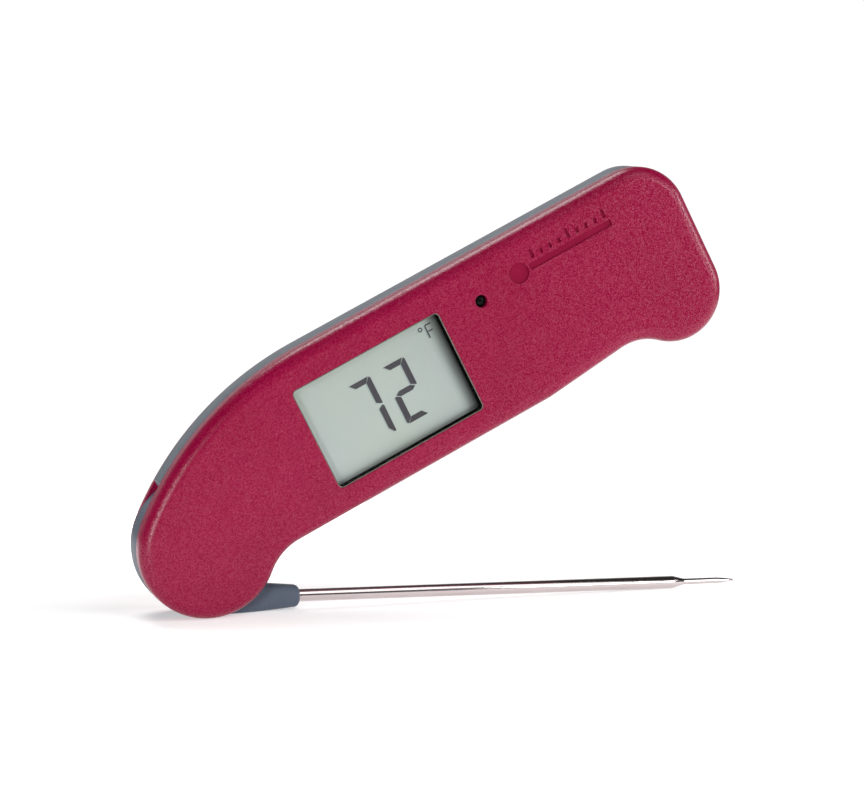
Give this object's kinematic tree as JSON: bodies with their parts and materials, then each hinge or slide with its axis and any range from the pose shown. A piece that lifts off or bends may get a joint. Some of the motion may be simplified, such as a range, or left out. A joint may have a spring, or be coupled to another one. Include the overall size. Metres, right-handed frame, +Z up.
{
  "type": "folding-probe meat thermometer",
  "caption": "Pocket meat thermometer: flat curved handle with a display window, a steel probe that folds out from one round end, and a battery door in the back.",
  "frame": {"origin": "on the ground, below the middle of the box round the whole thermometer as it stands on its round end and its probe", "axes": "+Z up, -Y out of the display, +X from the round end towards the probe's tip"},
  "size_m": [0.1506, 0.019, 0.1039],
  "materials": {
    "maroon_plastic": "moulded, fine satin grain",
    "grey_band": "satin grey, slightly soft",
    "hub_plastic": "satin blue-grey",
    "polished_steel": "polished stainless steel",
    "screw_steel": "plain steel",
    "clear_window": "clear, glossy",
    "display_glass": "grey-green liquid-crystal display",
    "black_rubber": "matt black",
    "contact_rubber": "matt pink",
    "white_plastic": "matt white",
    "board_laminate": "green lacquer",
    "chip_resin": "matt black",
    "smoked_plastic": "dark, glossy",
    "battery_jacket": "satin printed jacket",
    "wire_sleeve": "thin sleeve"
  },
  "bodies": {
    "handle": {"backlight_panel": "white_plastic", "battery_cell": "battery_jacket", "battery_plus_contact": "polished_steel", "battery_spring": "polished_steel", "board_screw_1": "screw_steel", "board_screw_2": "screw_steel", "case_screw_1": "screw_steel", "case_screw_2": "screw_steel", "case_screw_3": "screw_steel", "case_screw_4": "screw_steel", "case_seal_front": "black_rubber", "case_seal_rear": "black_rubber", "contact_strip_lower": "contact_rubber", "contact_strip_upper": "contact_rubber", "converter_chip": "chip_resin", "display_lens": "clear_window", "front_shell": "maroon_plastic", "hub_seal_front": "black_rubber", "hub_seal_rear": "black_rubber", "lcd_front_glass": "display_glass", "lcd_holder": "white_plastic", "lcd_rear_glass": "display_glass", "lens_seal": "black_rubber", "light_pipe": "smoked_plastic", "light_sensor_chip": "chip_resin", "main_board": "board_laminate", "motion_sensor_chip": "chip_resin", "processor_chip": "chip_resin", "rear_shell": "maroon_plastic", "settings_switch": "chip_resin", "spine_band": "grey_band", "thermocouple_lead": "wire_sleeve"},
    "probe": {"probe_hub": "hub_plastic", "probe_shaft": "polished_steel", "thermocouple_wire": "wire_sleeve", "friction_washer": "polished_steel"},
    "battery_door": {"battery_door": "maroon_plastic", "door_gasket": "black_rubber", "door_screw_1": "screw_steel", "door_screw_2": "screw_steel"},
    "settings_button": {"settings_button": "grey_band"}
  },
  "joints": [
    {"name": "probe_fold", "type": "hinge", "parent": "handle", "child": "probe", "pos_m": [-0.05888, 0, 0.0164], "axis": [0, 1, 0], "range_deg": [-30.9, 149.1]},
    {"name": "battery_door_lift", "type": "slide", "parent": "handle", "child": "battery_door", "axis": [0, 1, 0], "range_m": [0, 0.025]},
    {"name": "settings_button_press", "type": "slide", "parent": "handle", "child": "settings_button", "axis": [0, -1, 0], "range_m": [0, 0.0005], "stiffness_N_per_m": 300, "springref_m": -0.001}
  ]
}
